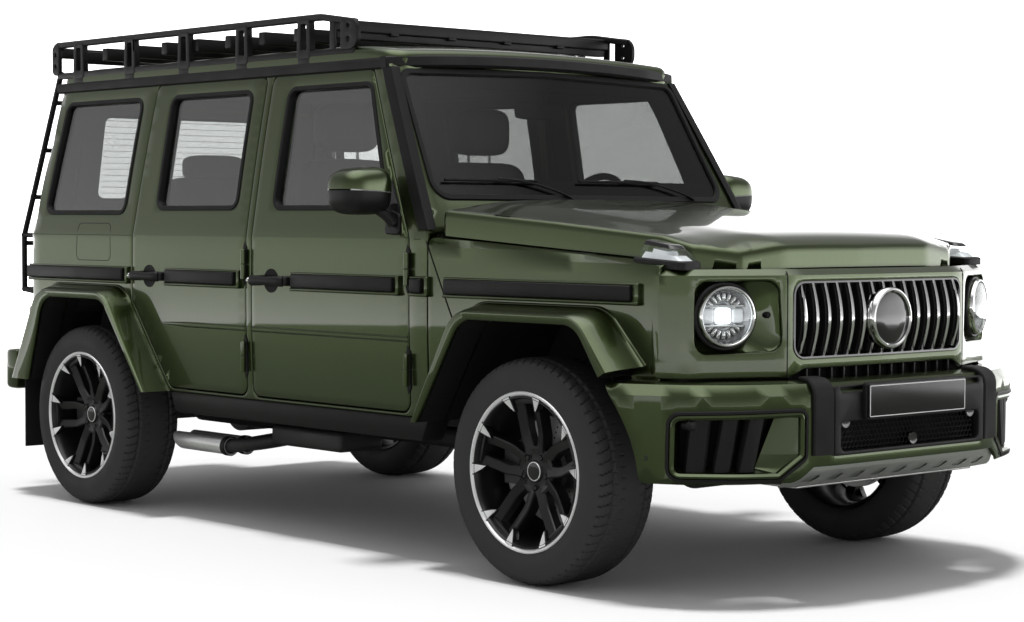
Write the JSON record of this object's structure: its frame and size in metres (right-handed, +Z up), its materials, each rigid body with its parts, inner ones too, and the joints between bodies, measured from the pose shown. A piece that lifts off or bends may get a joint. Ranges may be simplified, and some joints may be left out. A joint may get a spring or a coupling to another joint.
{
  "type": "off-road 4x4 estate car",
  "caption": "Boxy off-road estate car with roof rack, rear ladder, spare wheel, opening doors, bonnet and steered wheels.",
  "frame": {"origin": "on the ground, below the centre of the car's outer box", "axes": "+X forward, +Y to the car's left, +Z up"},
  "size_m": [4.866, 2.186, 2.0579],
  "materials": {
    "paint": "deep green metallic gloss",
    "black_plastic": "satin black",
    "glass": "grey tinted glass",
    "chrome": "polished",
    "lamp_glass": "clear lens",
    "skid_metal": "brushed satin",
    "flap_rubber": "matt",
    "black_metal": "satin powder coat",
    "cast_metal": "dull dark metal",
    "engine_metal": "dull metal",
    "exhaust_metal": "bright tips",
    "seat_leather": "black leather",
    "cabin_plastic": "soft black",
    "tyre": "matt black rubber",
    "rim": "gloss black with bright cut faces"
  },
  "bodies": {
    "root": {"side_walls": "paint", "floor_pan": "paint", "rear_frame": "paint", "roof_panel": "paint", "front_wings": "paint", "front_panel": "paint", "arch_flares": "paint", "front_bumper": "paint", "rear_bumper": "paint", "fixed_glass": "glass", "grille": "chrome", "lamps": "lamp_glass", "bumper_trim": "black_plastic", "skid_plate": "skid_metal", "side_sills": "black_plastic", "mudflaps": "flap_rubber", "chassis_frame": "black_metal", "axles": "cast_metal", "engine_block": "engine_metal", "exhaust": "exhaust_metal", "seats": "seat_leather", "dashboard": "cabin_plastic", "rack_sides": "black_metal", "rack_floor": "black_metal"},
    "bonnet": {"bonnet": "paint"},
    "door_front_left": {"door_front_left": "paint", "mirror_left": "black_plastic", "door_front_left_glass": "glass"},
    "door_front_right": {"door_front_right": "paint", "mirror_right": "black_plastic", "door_front_right_glass": "glass"},
    "door_rear_left": {"door_rear_left": "paint", "door_rear_left_glass": "glass"},
    "door_rear_right": {"door_rear_right": "paint", "door_rear_right_glass": "glass"},
    "rear_door": {"rear_door": "paint", "rear_door_glass": "glass", "spare_wheel": "black_plastic", "ladder": "black_metal"},
    "knuckle_left": {"knuckle_left": "cast_metal"},
    "knuckle_right": {"knuckle_right": "cast_metal"},
    "wheel_front_left": {"tyre_front_left": "tyre", "rim_front_left": "rim"},
    "wheel_front_right": {"tyre_front_right": "tyre", "rim_front_right": "rim"},
    "wheel_rear_left": {"tyre_rear_left": "tyre", "rim_rear_left": "rim"},
    "wheel_rear_right": {"tyre_rear_right": "tyre", "rim_rear_right": "rim"}
  },
  "joints": [
    {"name": "steer_left", "type": "hinge", "parent": "root", "child": "knuckle_left", "pos_m": [1.498, 0.75, 0.3915], "axis": [0, 0, 1], "range_deg": [-32, 32]},
    {"name": "steer_right", "type": "hinge", "parent": "root", "child": "knuckle_right", "pos_m": [1.498, -0.75, 0.3915], "axis": [0, 0, 1], "range_deg": [-32, 32]},
    {"name": "spin_front_left", "type": "hinge", "parent": "knuckle_left", "child": "wheel_front_left", "pos_m": [1.498, 0.826, 0.3915], "axis": [0, 1, 0], "continuous": true},
    {"name": "spin_front_right", "type": "hinge", "parent": "knuckle_right", "child": "wheel_front_right", "pos_m": [1.498, -0.826, 0.3915], "axis": [0, 1, 0], "continuous": true},
    {"name": "spin_rear_left", "type": "hinge", "parent": "root", "child": "wheel_rear_left", "pos_m": [-1.392, 0.826, 0.3915], "axis": [0, 1, 0], "continuous": true},
    {"name": "spin_rear_right", "type": "hinge", "parent": "root", "child": "wheel_rear_right", "pos_m": [-1.392, -0.826, 0.3915], "axis": [0, 1, 0], "continuous": true},
    {"name": "door_front_left_hinge", "type": "hinge", "parent": "root", "child": "door_front_left", "pos_m": [0.78, 0.887, 1], "axis": [0, 0, -1], "range_deg": [0, 68]},
    {"name": "door_front_right_hinge", "type": "hinge", "parent": "root", "child": "door_front_right", "pos_m": [0.78, -0.887, 1], "axis": [0, 0, 1], "range_deg": [0, 68]},
    {"name": "door_rear_left_hinge", "type": "hinge", "parent": "root", "child": "door_rear_left", "pos_m": [-0.258, 0.887, 1], "axis": [0, 0, -1], "range_deg": [0, 65]},
    {"name": "door_rear_right_hinge", "type": "hinge", "parent": "root", "child": "door_rear_right", "pos_m": [-0.258, -0.887, 1], "axis": [0, 0, 1], "range_deg": [0, 65]},
    {"name": "bonnet_hinge", "type": "hinge", "parent": "root", "child": "bonnet", "pos_m": [0.889, 0, 1.285], "axis": [0, -1, 0], "range_deg": [0, 50]},
    {"name": "rear_door_hinge", "type": "hinge", "parent": "root", "child": "rear_door", "pos_m": [-2.005, -0.723, 1], "axis": [0, 0, 1], "range_deg": [0, 90]}
  ],
  "couplings": [
    {"joint": "steer_right", "follows": "steer_left", "ratio": 1}
  ]
}
